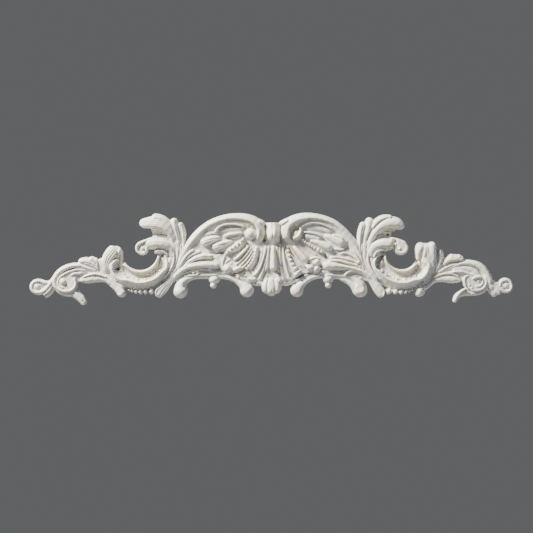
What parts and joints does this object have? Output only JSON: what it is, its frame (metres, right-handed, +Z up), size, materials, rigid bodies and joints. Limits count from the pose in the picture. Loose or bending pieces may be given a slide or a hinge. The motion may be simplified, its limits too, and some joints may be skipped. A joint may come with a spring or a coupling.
{
  "type": "carved pediment onlay",
  "caption": "Flat-backed rococo pediment onlay: an arched shell crest between leafy C-scrolls that taper to swan-necked end volutes, cast in one off-white piece for fixing to a wall or cabinet.",
  "frame": {"origin": "on the flat back, on the centre line, level with the middle rib of the shell", "axes": "+X along the length to the viewer's right, +Z up, +Y into the wall behind the flat back"},
  "size_m": [0.4842, 0.0177, 0.0928],
  "materials": {
    "casting_resin": "off-white cast resin with a soft satin skin, slightly warmer on the high edges"
  },
  "bodies": {
    "root": {"pediment_casting": "casting_resin"}
  },
  "joints": []
}
